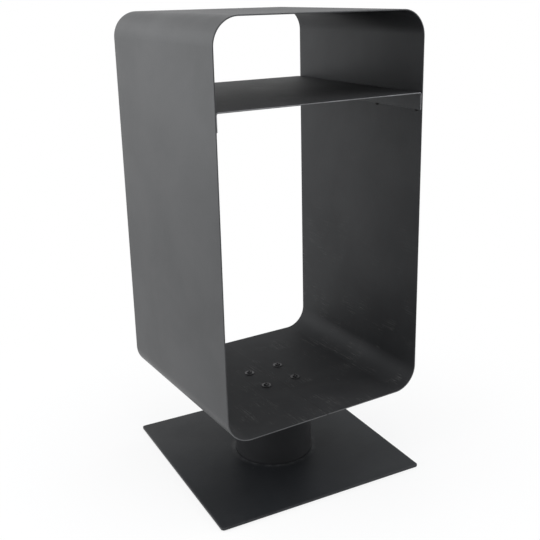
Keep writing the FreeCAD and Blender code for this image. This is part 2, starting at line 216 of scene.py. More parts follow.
def tube_path():
    """The tube's outer face from the seam in its floor, round by the right, back to the seam."""
    low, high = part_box("shell")
    bend_steps, floor_steps, side_steps = 24, 12, 16
    left, right = low.x + TUBE_BEND, high.x - TUBE_BEND
    bottom, top = low.z + TUBE_BEND, high.z - TUBE_BEND
    down, outwards, up = Vector((0, 0, -1)), Vector((1, 0, 0)), Vector((0, 0, 1))
    path = []
    add_run(path, Vector((SEAM_HALF, 0, low.z)), Vector((right, 0, low.z)), down, floor_steps)
    add_bend(path, Vector((right, 0, bottom)), TUBE_BEND, -QUARTER, 0, bend_steps)
    add_run(path, Vector((high.x, 0, bottom)), Vector((high.x, 0, top)), outwards, side_steps)
    add_bend(path, Vector((right, 0, top)), TUBE_BEND, 0, QUARTER, bend_steps)
    add_run(path, Vector((right, 0, high.z)), Vector((left, 0, high.z)), up, 2 * floor_steps)
    add_bend(path, Vector((left, 0, top)), TUBE_BEND, QUARTER, 2 * QUARTER, bend_steps)
    add_run(path, Vector((low.x, 0, top)), Vector((low.x, 0, bottom)), -outwards, side_steps)
    add_bend(path, Vector((left, 0, bottom)), TUBE_BEND, 2 * QUARTER, 3 * QUARTER, bend_steps)
    add_run(path, Vector((left, 0, low.z)), Vector((-SEAM_HALF, 0, low.z)), down, floor_steps)
    return path


def shelf_path():
    """The shelf's upper face, from the foot of the right flange over to the foot of the left one."""
    low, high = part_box("shelf")
    bend_steps, flange_steps, top_steps = 6, 3, 20
    left, right, top = low.x + SHELF_BEND, high.x - SHELF_BEND, high.z - SHELF_BEND
    outwards, up = Vector((1, 0, 0)), Vector((0, 0, 1))
    path = []
    add_run(path, Vector((high.x, 0, low.z)), Vector((high.x, 0, top)), outwards, flange_steps)
    add_bend(path, Vector((right, 0, top)), SHELF_BEND, 0, QUARTER, bend_steps)
    add_run(path, Vector((right, 0, high.z)), Vector((left, 0, high.z)), up, top_steps)
    add_bend(path, Vector((left, 0, top)), SHELF_BEND, QUARTER, 2 * QUARTER, bend_steps)
    add_run(path, Vector((low.x, 0, top)), Vector((low.x, 0, low.z)), -outwards, flange_steps)
    return path


def bore_holes(piece, places, radius, low, high):
    """Cut round holes through a piece, upright, between two levels."""
    segments = 48
    cutter_edit = bmesh.new()
    for x, y in places:
        where = Matrix.Translation((x, y, (low + high) / 2))
        bmesh.ops.create_cone(cutter_edit, cap_ends=True, segments=segments, radius1=radius,
                              radius2=radius, depth=high - low, matrix=where)
    mesh = bpy.data.meshes.new("hole cutter")
    cutter_edit.to_mesh(mesh)
    cutter_edit.free()
    cutter = bpy.data.objects.new("hole_cutter", mesh)
    scene.collection.objects.link(cutter)
    cut = piece.modifiers.new("Holes", "BOOLEAN")
    cut.operation = "DIFFERENCE"
    cut.solver = "EXACT"
    cut.object = cutter
    piece.modifiers.move(piece.modifiers.find("Holes"), 0)
    weigh = piece.modifiers["Even normals"]
    weigh.show_viewport = False
    bpy.context.view_layer.update()
    evaluated = piece.evaluated_get(bpy.context.evaluated_depsgraph_get())
    holed = bpy.data.meshes.new_from_object(evaluated)
    piece.modifiers.remove(cut)
    weigh.show_viewport = True
    plain = piece.data
    piece.data = holed
    bpy.data.meshes.remove(plain)
    bpy.data.objects.remove(cutter)
    bpy.data.meshes.remove(mesh)


# Turned pieces

def ring_point(centre, radius, angle, level):
    """A point at a radius and an angle round an upright axis."""
    return centre[0] + radius * math.cos(angle), centre[1] + radius * math.sin(angle), level


def turn_profile(mesh_edit, profile, segments, centre=(0, 0), reshape=None):
    """Turn a closed profile of radius, level and rim wear round an upright axis."""
    rims = [rim for radius, level, rim in profile]
    rows = []
    for number in range(segments):
        angle = FULL_TURN * number / segments
        points = []
        for radius, level, rim in profile:
            if reshape:
                radius, level = reshape(radius, level, angle)
            points.append(ring_point(centre, radius, angle, level))
        rows.append(add_row(mesh_edit, points, rims))
    for number in range(segments):
        bridge(mesh_edit, rows[number - 1], rows[number])


def stack_rows(mesh_edit, rows):
    """Make a body from level rows of points, each with its rim wear, one after the other."""
    skin(mesh_edit, [add_row(mesh_edit, points, [rim] * len(points)) for points, rim in rows])


def circle_row(centre, radius, level, count):
    """A level row of points on a circle."""
    return [ring_point(centre, radius, FULL_TURN * number / count, level) for number in range(count)]


def hexagon_row(centre, across_flats, level, count):
    """A level row of points on a hexagon, as many as on a circle row, at the same angles."""
    flat_angle = FULL_TURN / 6
    points = []
    for number in range(count):
        angle = FULL_TURN * number / count
        from_middle = angle % flat_angle - flat_angle / 2
        points.append(ring_point(centre, across_flats / 2 / math.cos(from_middle), angle, level))
    return points


# Tube, shelf and their welds

def tube_rub(point, inset):
    """How much the load rubs the tube: its floor and the lower part of its walls, inside."""
    worn_level, clean_level = 170 * MM, 520 * MM
    if inset < SHEET / 2:
        return NO_WEAR
    return held((clean_level - point.z) / (clean_level - worn_level))


def tube_rim(place, inset):
    """Share of rub and painted highlight on the tube's cut edges: most along the floor, hardly higher up.
    """
    worn_level, clean_level, clean_wear = 170 * MM, 270 * MM, 0.35
    share = held((clean_level - place.z) / (clean_level - worn_level))
    return clean_wear + (FULL_WEAR - clean_wear) * share


def shelf_rub(point, inset):
    """How much the load rubs the shelf: its upper face."""
    upper_rub = 0.6
    return upper_rub if inset < SHEET / 2 else NO_WEAR


def shelf_rim(place, inset):
    """Share of rub and painted highlight on the shelf's edges: full, but less on the lower half of its
    top.
    """
    flange_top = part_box("shelf")[1].z - SHELF_BEND
    lower_highlight = 0.3
    return FULL_WEAR if place.z < flange_top or inset < SHEET / 2 else lower_highlight


def make_tube():
    """The tube: one sheet bent round four corners, with holes for its screws."""
    low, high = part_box("shell")
    sheet = sweep_sheet(tube_path(), high.y, tube_rub, tube_rim, NO_WEAR)
    piece = finish_piece("tube_sheet", sheet, "carrier", "shell")
    bore_holes(piece, screw_places(), SCREW_HOLE_RADIUS, low.z - SHEET, low.z + 2 * SHEET)
    return piece


def make_shelf():
    """The shelf: one sheet with a flange turned down at each side."""
    # The flanges' feet carry little of the painted highlight on the shelf's edges
    half_depth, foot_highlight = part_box("shelf")[1].y, 0.15
    sheet = sweep_sheet(shelf_path(), half_depth, shelf_rub, shelf_rim, foot_highlight)
    return finish_piece("shelf_sheet", sheet, "carrier", "shelf")


def make_seam_bead():
    """The butt weld in the tube's floor, dressed flush below and left with a low crown inside."""
    low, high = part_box("shell_seam_weld")
    crown, toe, sink = 0.3 * MM, 1.7 * MM, 0.02 * MM
    ripple, pitch, lag = 0.05 * MM, 3 * MM, 0.5
    along_steps, across_steps = 600, 8
    mesh_edit = bmesh.new()
    rows = []
    for depth in spread(low.y + EDGE_ROUND, high.y - EDGE_ROUND, along_steps):
        points = [(SEAM_HALF, depth, low.z), (SEAM_HALF, depth, high.z)]
        for side in spread(toe, -toe, across_steps):
            lift = crown * (1 - (side / toe) ** 2)
            wave = ripple * math.sin(FULL_TURN * (depth + lag * abs(side)) / pitch) * lift / crown
            points.append((side, depth, high.z + lift + wave - sink))
        points += [(-SEAM_HALF, depth, high.z), (-SEAM_HALF, depth, low.z)]
        rows.append(add_row(mesh_edit, points))
    skin(mesh_edit, rows)
    return finish_piece("seam_bead", mesh_edit, "carrier", "shell_seam_weld")


def make_tacks(side, sign):
    """The short fillet beads that hold one shelf flange to the tube's wall."""
    node = f"shelf_welds_{side}"
    low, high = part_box(node)
    wall = sign * max(abs(low.x), abs(high.x))
    leg, reach, bulge, half_length = high.z - low.z, SHEET, 1.2 * MM, 5 * MM
    end_share, overlap = 0.985, 0.2 * MM
    puff_out, puff_down = 0.7, 0.5
    ripple_share, ripple_waves = 0.13, 15
    uneven, tack_step, side_step, noise_level = 0.12, 3.7, 2.1, 0.4
    along_steps, across_steps = 26, 8
    insets = (15 * MM, 124 * MM)
    tube_low, tube_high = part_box("shell")
    centres = [tube_low.y + inset for inset in insets] + [tube_high.y - inset for inset in insets]
    mesh_edit = bmesh.new()
    for number, centre in enumerate(centres):
        size = 1 + uneven * noise.noise(Vector((number * tack_step, sign * side_step, noise_level)))
        rows = []
        for share in spread(-end_share, end_share, along_steps):
            depth = centre + share * half_length * size
            swell = math.sqrt(1 - share * share)
            ripple = 1 + ripple_share * math.sin(share * ripple_waves + number)
            points = [(wall, depth, high.z + overlap)]
            for across in spread(0, 1, across_steps):
                out = reach * (1 - across) * swell * size
                fall = leg * across * swell * size
                puff = bulge * math.sin(math.pi * across) * swell * ripple
                beside = wall - sign * (out + puff * puff_out)
                points.append((beside, depth, high.z - fall - puff * puff_down))
            rows.append(add_row(mesh_edit, points))
        skin(mesh_edit, rows)
    return finish_piece(f"tack_beads_{side}", mesh_edit, "carrier", node)


# Fastenings in the tube's floor

def screw_places():
    """The four places of the screws, which stand on the diagonals."""
    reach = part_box("carrier_screws")[1].x - SCREW_HEAD_RADIUS
    return [(x, y) for x in (-reach, reach) for y in (-reach, reach)]


def shank_rows(centre, foot, seat, count):
    """A threaded shank, from its foot up to the plain neck below the head."""
    radius, thread_depth, pitch = 3 * MM, 0.45 * MM, 1 * MM
    neck = 3 * pitch
    rows = [(circle_row(centre, radius - 2 * thread_depth, foot, count), NO_WEAR)]
    level = foot + thread_depth
    while level < seat - neck:
        rows.append((circle_row(centre, radius, level, count), NO_WEAR))
        rows.append((circle_row(centre, radius - thread_depth, level + pitch / 2, count), NO_WEAR))
        level += pitch
    rows.append((circle_row(centre, radius, level, count), NO_WEAR))
    rows.append((circle_row(centre, radius, seat, count), NO_WEAR))
    return rows


def head_rows(centre, seat, top, count):
    """A button head, from its seat over the dome and down into the key socket."""
    brim, skirt, crown_radius = 0.2 * MM, 0.5 * MM, 2.95 * MM
    key, lead_in, lead_share = 4 * MM, 0.25 * MM, 1.28
    socket_depth, tip_depth, tip_radius = 1.9 * MM, 0.6 * MM, 0.3 * MM
    dome_steps, dome_turn = 9, 0.98 * QUARTER
    seat_wear, dome_wear, crown_wear = 0.3, 0.2, 0.6
    rows = [(circle_row(centre, SCREW_HEAD_RADIUS - brim, seat, count), seat_wear)]
    rows.append((circle_row(centre, SCREW_HEAD_RADIUS, seat + brim, count), FULL_WEAR))
    for turn in spread(0, dome_turn, dome_steps):
        radius = crown_radius + (SCREW_HEAD_RADIUS - crown_radius) * math.cos(turn)
        level = seat + skirt + (top - seat - skirt) * math.sin(turn)
        rows.append((circle_row(centre, radius, level, count), dome_wear))
    rows.append((circle_row(centre, key / 2 * lead_share, top, count), crown_wear))
    rows.append((hexagon_row(centre, key, top - lead_in, count), FULL_WEAR))
    rows.append((hexagon_row(centre, key, top - socket_depth, count), NO_WEAR))
    rows.append((circle_row(centre, tip_radius, top - socket_depth - tip_depth, count), NO_WEAR))
    return rows


def make_carrier_screws():
    """Button-head screws with key sockets and threaded shanks."""
    low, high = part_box("carrier_screws")
    head_rise, count = 3.3 * MM, 48
    seat = high.z - head_rise
    mesh_edit = bmesh.new()
    for centre in screw_places():
        shank = shank_rows(centre, low.z, seat, count)
        head = head_rows(centre, seat, high.z, count)
        stack_rows(mesh_edit, shank + head)
    return finish_piece("button_head_screws", mesh_edit, "carrier", "carrier_screws")


def make_washers():
    """Stamped washers with one rolled and one sharper edge."""
    low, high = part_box("carrier_washers")
    bore, outside, roll = SCREW_HOLE_RADIUS, 9 * MM, 0.35 * MM
    sharp, lead_in = 0.1 * MM, 0.2 * MM
    skirt_wear, bore_wear, lead_wear = 0.4, 0.3, 0.5
    steps, segments = 4, 64
    profile = [(radius, level, FULL_WEAR) for radius, level in
               arc(outside - roll, high.z - roll, roll, QUARTER, 0, steps)]
    profile += [(outside, low.z + sharp, skirt_wear), (outside - sharp, low.z, NO_WEAR)]
    profile += [(bore + sharp, low.z, NO_WEAR), (bore, low.z + sharp, NO_WEAR)]
    profile += [(bore, high.z - lead_in, bore_wear), (bore + lead_in, high.z, lead_wear)]
    mesh_edit = bmesh.new()
    for centre in screw_places():
        turn_profile(mesh_edit, profile, segments, centre)
    return finish_piece("stamped_washers", mesh_edit, "carrier", "carrier_washers")


# Plate, pads and pedestal

def plate_outline(inset, level):
    """The plate's square with rounded corners, drawn in by an inset, at a level."""
    corner_steps, side_steps, least_radius = 10, 6, 0.2 * MM
    radius = max(PLATE_CORNER - inset, least_radius)
    reach = PLATE_SIDE / 2 - inset - radius
    corners = []
    for number, (x, y) in enumerate(((1, 1), (-1, 1), (-1, -1), (1, -1))):
        start, end = number * QUARTER, (number + 1) * QUARTER
        corners.append(arc(x * reach, y * reach, radius, start, end, corner_steps))
    points = []
    for number, corner_points in enumerate(corners):
        points += corner_points
        start, end = Vector(corner_points[-1]), Vector(corners[(number + 1) % len(corners)][0])
        points += [tuple(start.lerp(end, share)) for share in spread(0, 1, side_steps)[1:-1]]
    return [(x, y, level) for x, y in points]


def make_plate():
    """The floor plate, its cut edges lightly rounded."""
    low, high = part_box("base_plate")
    support, steps = 5 * MM, 4
    rows = [(plate_outline(support, low.z), NO_WEAR)]
    for level, start, end in ((low.z + PLATE_ROUND, -QUARTER, 0), (high.z - PLATE_ROUND, 0, QUARTER)):
        for angle in spread(start, end, steps):
            inset = PLATE_ROUND * (1 - math.cos(angle))
            rows.append((plate_outline(inset, level + PLATE_ROUND * math.sin(angle)), FULL_WEAR))
    rows.append((plate_outline(support, high.z), NO_WEAR))
    mesh_edit = bmesh.new()
    stack_rows(mesh_edit, rows)
    return finish_piece("floor_plate", mesh_edit, "base", "base_plate", turned=True)


def make_pad(node):
    """A die-cut felt disc whose edge is a little frayed."""
    low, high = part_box(node)
    centre = ((low.x + high.x) / 2, (low.y + high.y) / 2)
    radius, roll, flat_share = (high.x - low.x) / 2, 0.5 * MM, 0.8
    fray, fray_scale = 0.22 * MM, 2500
    count, steps = 96, 4
    rings = [(radius * flat_share, low.z)]
    for level, start, end in ((low.z + roll, -QUARTER, 0), (high.z - roll, 0, QUARTER)):
        for angle in spread(start, end, steps):
            rings.append((radius - roll + roll * math.cos(angle) - fray, level + roll * math.sin(angle)))
    rings.append((radius * flat_share, high.z))
    rows = []
    for ring_radius, level in rings:
        points = []
        for x, y, z in circle_row((0, 0), ring_radius, level, count):
            stray = 1 + fray / radius * noise.noise(Vector((x, y, z)) * fray_scale)
            points.append((centre[0] + x * stray, centre[1] + y * stray, z))
        rows.append((points, NO_WEAR))
    mesh_edit = bmesh.new()
    stack_rows(mesh_edit, rows)
    return finish_piece(node.replace("floor_pad", "felt_disc"), mesh_edit, "base", node)


def make_pedestal():
    """The column: a tube with lightly rounded rims, which leaves a fine groove round its foot."""
    low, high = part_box("pedestal_tube")
    outside = (high.x - low.x) / 2
    inside = outside - PEDESTAL_WALL
    roll, groove, support = 0.5 * MM, 1 * MM, 3 * MM
    steps, outer_steps, inner_steps, segments = 4, 8, 4, 192
    foot, brim = low.z + support, high.z - support
    profile = [(outside - groove, low.z, NO_WEAR)]
    profile += [(radius, level, NO_WEAR) for radius, level in
                arc(outside - groove, low.z + groove, groove, -QUARTER, 0, steps)[1:]]
    profile += [(outside, level, NO_WEAR) for level in spread(foot, brim, outer_steps)]
    profile += [(radius, level, FULL_WEAR) for radius, level in
                arc(outside - roll, high.z - roll, roll, 0, QUARTER, steps)]
    profile += [(radius, level, FULL_WEAR) for radius, level in
                arc(inside + roll, high.z - roll, roll, QUARTER, 2 * QUARTER, steps)]
    profile += [(inside, level, NO_WEAR) for level in spread(brim, foot, inner_steps)]
    profile.append((inside, low.z, NO_WEAR))
    mesh_edit = bmesh.new()
    turn_profile(mesh_edit, profile, segments)
    return finish_piece("pedestal_column", mesh_edit, "base", "pedestal_tube",
                        turned=True)


def make_ring_bead(name, node, pitch):
    """A rippled fillet bead round the column's bore, in the corner between it and a level face."""
    low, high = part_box(node)
    radius, leg = RING_BEAD_RADIUS, high.z - low.z
    bulge, slant, ripple_share, lag = 0.16 * leg, 0.7, 0.05, 2
    across_steps, samples = 7, 6
    ripples = round(FULL_TURN * radius / pitch)
    profile = [(radius, low.z, NO_WEAR)]
    for across in spread(0, 1, across_steps):
        puff = bulge * math.sin(math.pi * across) * slant
        profile.append((radius - leg * across - puff, high.z - leg * across + puff, NO_WEAR))

    def ripple(ring_radius, level, angle):
        """Wave the bead's face along its run, and leave its two toes where they are."""
        lift = (radius - ring_radius) / leg
        fade = math.sin(math.pi * held(lift))
        wave = ripple_share * leg * math.sin(ripples * angle + lag * lift) * fade
        return ring_radius - wave, level + max(0.0, wave)

    mesh_edit = bmesh.new()
    turn_profile(mesh_edit, profile, ripples * samples, reshape=ripple)
    return finish_piece(name, mesh_edit, "base", node)


# Shader helpers

def add_node(tree, kind, inputs=None, **settings):
    """Add a shader node; an input takes a value or the socket that feeds it."""
    made = tree.nodes.new(kind)
    for name, value in settings.items():
        setattr(made, name, value)
    for name, value in (inputs or {}).items():
        if isinstance(value, bpy.types.NodeSocket):
            tree.links.new(value, made.inputs[name])
        else:
            made.inputs[name].default_value = value
    return made


def maths(tree, operation, *values):
    """The result of a maths node on sockets or numbers."""
    return add_node(tree, "ShaderNodeMath", dict(enumerate(values)), operation=operation).outputs[0]


def product(tree, first, *others):
    """Sockets and numbers multiplied one after the other."""
    result = first
    for value in others:
        result = maths(tree, "MULTIPLY", result, value)
    return result


def remap(tree, value, low, high, to_low=0.0, to_high=1.0):
    """A value eased from one range into another and held at its ends."""
    inputs = {"Value": value, "From Min": low, "From Max": high, "To Min": to_low, "To Max": to_high}
    ease = add_node(tree, "ShaderNodeMapRange", inputs, interpolation_type="SMOOTHSTEP")
    return ease.outputs["Result"]


def blend_colours(tree, share, here, there):
    """A colour between two colours, from the colour sockets of a mix node."""
    factor, first_colour, second_colour, mixed_colour = 0, 6, 7, 2
    inputs = {factor: share, first_colour: here, second_colour: there}
    return add_node(tree, "ShaderNodeMix", inputs, data_type="RGBA").outputs[mixed_colour]


def noise_value(tree, vector, scale, detail, roughness, distortion=0.0):
    """A noise value about one half."""
    inputs = {"Vector": vector, "Scale": scale, "Detail": detail, "Roughness": roughness,
              "Distortion": distortion}
    return add_node(tree, "ShaderNodeTexNoise", inputs).outputs["Fac"]


def stretch(tree, vector, scale):
    """Coordinates scaled differently along the three axes."""
    return add_node(tree, "ShaderNodeVectorMath", {0: vector, 1: scale}, operation="MULTIPLY").outputs[0]


def distance(tree, vector):
    """How far a place is from the origin of its coordinates."""
    return add_node(tree, "ShaderNodeVectorMath", {0: vector}, operation="LENGTH").outputs["Value"]


def axes(tree, vector):
    """The X, Y and Z of a vector."""
    return add_node(tree, "ShaderNodeSeparateXYZ", {0: vector}).outputs


def wear_attribute(tree, name):
    """The value that the mesh carries under a name."""
    return add_node(tree, "ShaderNodeAttribute", attribute_name=name).outputs["Fac"]


def new_group(name, values, outputs):
    """Start a node group that takes coordinates and named values; gives its tree, inputs and end."""
    tree = bpy.data.node_groups.new(name, "ShaderNodeTree")
    tree.interface.new_socket("Vector", in_out="INPUT", socket_type="NodeSocketVector")
    for socket, value in values.items():
        made = tree.interface.new_socket(socket, in_out="INPUT", socket_type="NodeSocketFloat")
        made.default_value = value
    for socket in outputs:
        tree.interface.new_socket(socket, in_out="OUTPUT", socket_type="NodeSocketFloat")
    start = tree.nodes.new("NodeGroupInput")
    end = tree.nodes.new("NodeGroupOutput")
    return tree, start.outputs, end


def give(tree, end, **values):
    """Link values to the outputs of a group."""
    for name, value in values.items():
        tree.links.new(value, end.inputs[name])


# Effects that the finishes are made of

def coating_grain_group():
    """The texture of a sprayed coating: fine grain, soft orange peel and slow clouds."""
    tree, taken, end = new_group("Coating grain", {"Grain": 1300.0, "Peel": 240.0, "Clouds": 6.0},
                                 ["Height", "Cloud"])
    grain_share = 0.8
    grain = noise_value(tree, taken["Vector"], taken["Grain"], detail=2.0, roughness=0.6)
    peel = noise_value(tree, taken["Vector"], taken["Peel"], detail=1.0, roughness=0.4)
    cloud = noise_value(tree, taken["Vector"], taken["Clouds"], detail=5.0, roughness=0.55,
                        distortion=0.4)
    height = maths(tree, "ADD", product(tree, grain, grain_share), peel)
    give(tree, end, Height=height, Cloud=remap(tree, cloud, low=0.28, high=0.72))
    return tree


def edge_wear_and_highlight_group():
    """Rubbed cut edges, partly a painted highlight on tube and shelf: the mesh's rim, broken up by noise.
    """
    tree, taken, end = new_group("Edge wear and highlight", {"Amount": 1.0}, ["Mask"])
    patches = noise_value(tree, taken["Vector"], scale=24.0, detail=5.0, roughness=0.65)
    broken = remap(tree, patches, low=0.3, high=0.7, to_low=0.4)
    rim = remap(tree, wear_attribute(tree, RIM), low=0.25, high=0.95)
    give(tree, end, Mask=product(tree, rim, broken, taken["Amount"]))
    return tree


def settled_dust_group():
    """Dust that settles on faces that look up, thicker in places, and dulls them."""
    tree, taken, end = new_group("Settled dust", {"Amount": 0.3}, ["Mask", "Dull"])
    normal = add_node(tree, "ShaderNodeNewGeometry").outputs["Normal"]
    flat = remap(tree, axes(tree, normal)["Z"], low=0.55, high=0.98)
    film = noise_value(tree, taken["Vector"], scale=14.0, detail=6.0, roughness=0.6)
    motes = noise_value(tree, taken["Vector"], scale=900.0, detail=2.0, roughness=0.7)
    filmed = remap(tree, film, low=0.3, high=0.75)
    speckled = remap(tree, motes, low=0.62, high=0.75)
    thick = maths(tree, "ADD", filmed, speckled)
    mask = maths(tree, "MINIMUM", product(tree, flat, thick, taken["Amount"]), 1.0)
    dull = product(tree, flat, remap(tree, film, low=0.25, high=0.75, to_low=0.88))
    give(tree, end, Mask=mask, Dull=dull)
    return tree


def scratches_group():
    """Fine scratches along the depth of the tube, where the load slides in and out."""
    tree, taken, end = new_group("Load scratches", {"Amount": 1.0}, ["Mask"])
    along_depth = (420.0, 5.0, 420.0)
    middle = 0.5
    drawn_out = stretch(tree, taken["Vector"], along_depth)
    lines = noise_value(tree, drawn_out, scale=1.0, detail=2.0, roughness=0.6)
    off_line = maths(tree, "ABSOLUTE", maths(tree, "SUBTRACT", lines, middle))
    thin = maths(tree, "SUBTRACT", 1.0, remap(tree, off_line, low=0.004, high=0.018))
    places = noise_value(tree, taken["Vector"], scale=22.0, detail=3.0, roughness=0.6)
    gaps = remap(tree, places, low=0.5, high=0.68)
    give(tree, end, Mask=product(tree, thin, gaps, wear_attribute(tree, RUB), taken["Amount"]))
    return tree


def handling_group():
    """Soft marks of hands and cloths: blots, broken up by upright streaks."""
    tree, taken, end = new_group("Handling marks", {"Scale": 16.0}, ["Mask"])
    upright = (30.0, 30.0, 6.0)
    drawn_out = stretch(tree, taken["Vector"], upright)
    blots = noise_value(tree, taken["Vector"], taken["Scale"], detail=3.0, roughness=0.5, distortion=1.2)
    wiped = noise_value(tree, drawn_out, scale=1.0, detail=3.0, roughness=0.6, distortion=0.6)
    streaks = remap(tree, wiped, low=0.35, high=0.7, to_low=0.4)
    give(tree, end, Mask=product(tree, remap(tree, blots, low=0.42, high=0.66), streaks))
    return tree


def turning_marks_group():
    """Rings left by the lathe round the swivel axis, and faint stains."""
    tree, taken, end = new_group("Turning marks", {"Pitch": 2500.0}, ["Height", "Shade"])
    parts = axes(tree, taken["Vector"])
    squares = [product(tree, parts[axis], parts[axis]) for axis in ("X", "Y")]
    around = maths(tree, "SQRT", maths(tree, "ADD", *squares))
    place = add_node(tree, "ShaderNodeCombineXYZ", {"X": around, "Y": parts["Z"]}).outputs[0]
    rings = noise_value(tree, place, taken["Pitch"], detail=3.0, roughness=0.7)
    stains = noise_value(tree, taken["Vector"], scale=60.0, detail=4.0, roughness=0.6)
    give(tree, end, Height=rings, Shade=remap(tree, stains, low=0.3, high=0.7))
    return tree


GRAIN = coating_grain_group()
EDGE = edge_wear_and_highlight_group()
DUST = settled_dust_group()
SCRATCHES = scratches_group()
HANDLING = handling_group()
TURNING = turning_marks_group()


# Colours of the finishes, linear, with full alpha

CHARCOAL_DARK = (0.017, 0.0173, 0.0185, 1)
CHARCOAL_LIGHT = (0.0255, 0.0259, 0.0274, 1)
# Column: a lighter copy of the coating, painted light in the shade under the tube
COLUMN_DARK = (0.02, 0.0203, 0.0215, 1)
COLUMN_LIGHT = (0.026, 0.0264, 0.0278, 1)
# Plate: a darker, cooler copy of the coating, as painted shade under the tube
PLATE_SHADED_DARK = (0.0085, 0.0092, 0.0106, 1)
PLATE_SHADED_LIGHT = (0.0135, 0.0146, 0.0167, 1)
WELD_DARK = (0.006, 0.006, 0.0063, 1)
WELD_LIGHT = (0.0105, 0.0105, 0.011, 1)
SEAM_DARK = (0.0135, 0.0137, 0.0147, 1)
SEAM_LIGHT = (0.021, 0.0213, 0.0226, 1)
# Tube edge: partly rubbed bare, partly a painted highlight line along its lower edges
TUBE_EDGE_WEAR_AND_HIGHLIGHT = (0.1, 0.1, 0.103, 1)
# Shelf edge: a painted highlight line on its rubbed edges, far lighter than the coating
SHELF_EDGE_HIGHLIGHT = (0.27, 0.27, 0.278, 1)
BASE_EDGE = (0.05, 0.05, 0.0525, 1)
SCRATCHED = (0.27, 0.262, 0.253, 1)
# Light tone of scuffs, and of the painted highlight ring round the column's foot
SCUFF_AND_HIGHLIGHT_TONE = (0.12, 0.12, 0.1235, 1)
# Colour of dust, and of the painted sheen towards the back of the plate
DUST_AND_SHEEN_TONE = (0.23, 0.22, 0.205, 1)
COOL_GLOSS = (0.93, 0.97, 1.0, 1)
COLD_GLOSS = (0.88, 0.95, 1.0, 1)
FELT_DARK = (0.03, 0.028, 0.026, 1)
FELT_LIGHT = (0.1, 0.095, 0.09, 1)
ALLOY_DARK = (0.52, 0.52, 0.53, 1)
ALLOY_LIGHT = (0.66, 0.66, 0.67, 1)
ZINC_DARK = (0.47, 0.48, 0.5, 1)
ZINC_LIGHT = (0.62, 0.63, 0.64, 1)
OXIDE_DARK = (0.03, 0.03, 0.032, 1)
OXIDE_LIGHT = (0.06, 0.06, 0.062, 1)
BALL_DARK = (0.58, 0.59, 0.61, 1)
BALL_LIGHT = (0.66, 0.67, 0.69, 1)
NYLON_DARK = (0.66, 0.63, 0.55, 1)
NYLON_LIGHT = (0.75, 0.73, 0.67, 1)
GREASE = (0.5, 0.44, 0.32, 1)

# Relief of the finishes: how strongly and how deep their height shows
COAT_RELIEF = 0.34
WELD_RELIEF = 0.4
COAT_DEPTH = 0.25 * MM
FINE_DEPTH = 0.05 * MM


# Finishes

def new_finish(name, **constants):
    """Start a material; gives its tree, its surface coordinates and its shader, with constants set."""
    finish = bpy.data.materials.new(name)
    finish.use_nodes = True
    tree = finish.node_tree
    shader = tree.nodes["Principled BSDF"]
    for socket, value in constants.items():
        shader.inputs[socket.replace("_", " ")].default_value = value
    place = add_node(tree, "ShaderNodeTexCoord").outputs["Object"]
    return finish, tree, place, shader


def use_group(tree, group, place, **values):
    """Place an effect in a material, with its own values, and give its outputs."""
    made = tree.nodes.new("ShaderNodeGroup")
    made.node_tree = group
    tree.links.new(place, made.inputs["Vector"])
    for name, value in values.items():
        made.inputs[name].default_value = value
    return made.outputs


def add_bump(tree, shader, height, strength, depth):
    """Give the shader a bumped normal."""
    bump = add_node(tree, "ShaderNodeBump", {"Height": height, "Strength": strength, "Distance": depth})
    tree.links.new(bump.outputs["Normal"], shader.inputs["Normal"])


def feed(tree, shader, colour, roughness):
    """Link a colour and a roughness to the shader."""
    tree.links.new(colour, shader.inputs["Base Color"])
    tree.links.new(roughness, shader.inputs["Roughness"])


def coat_layers(tree, place, dark, light, edge, worn, dust):
    """The layers that all coated pieces share, as colour, roughness and height."""
    dark_rough, light_rough, dust_dulling, mark_polish = 0.45, 0.43, 0.13, 0.02
    grain = use_group(tree, GRAIN, place)
    edges = use_group(tree, EDGE, place, Amount=worn)["Mask"]
    settled = use_group(tree, DUST, place, Amount=dust)
    marks = use_group(tree, HANDLING, place)["Mask"]
    colour = blend_colours(tree, grain["Cloud"], dark, light)
    # On the tube and the shelf this edge colour is partly a painted highlight
    colour = blend_colours(tree, edges, colour, edge)
    colour = blend_colours(tree, settled["Mask"], colour, DUST_AND_SHEEN_TONE)
    roughness = remap(tree, grain["Cloud"], low=0.0, high=1.0, to_low=dark_rough, to_high=light_rough)
    roughness = maths(tree, "ADD", roughness, product(tree, settled["Dull"], dust_dulling))
    roughness = maths(tree, "SUBTRACT", roughness, product(tree, marks, mark_polish))
    return colour, roughness, grain["Height"]


def sheet_coating(name, edge, worn, specular):
    """Heat-proof satin coating on the bent sheets, scratched and dulled where the load slides."""
    dust, scratch_amount, rub_dulling = 0.012, 0.28, 0.16
    finish, tree, place, shader = new_finish(name, Specular_IOR_Level=specular, Specular_Tint=COOL_GLOSS)
    colour, roughness, height = coat_layers(tree, place, CHARCOAL_DARK, CHARCOAL_LIGHT, edge, worn, dust)
    lines = use_group(tree, SCRATCHES, place, Amount=scratch_amount)["Mask"]
    colour = blend_colours(tree, lines, colour, SCRATCHED)
    roughness = maths(tree, "ADD", roughness, product(tree, wear_attribute(tree, RUB), rub_dulling))
    feed(tree, shader, colour, roughness)
    add_bump(tree, shader, height, COAT_RELIEF, COAT_DEPTH)
    return finish


def column_coating():
    """The same coating on the column and the ring in its top, untouched by the load: a lighter copy,
    painted light.
    """
    worn, dust = 0.5, 0.01
    finish, tree, place, shader = new_finish("Satin coating on the column", Specular_IOR_Level=0.05,
                                             Specular_Tint=COOL_GLOSS)
    # A lighter, less glossy copy of the coating: painted light on the shaded column
    colour, roughness, height = coat_layers(tree, place, COLUMN_DARK, COLUMN_LIGHT, BASE_EDGE, worn, dust)
    feed(tree, shader, colour, roughness)
    add_bump(tree, shader, height, COAT_RELIEF, COAT_DEPTH)
    return finish


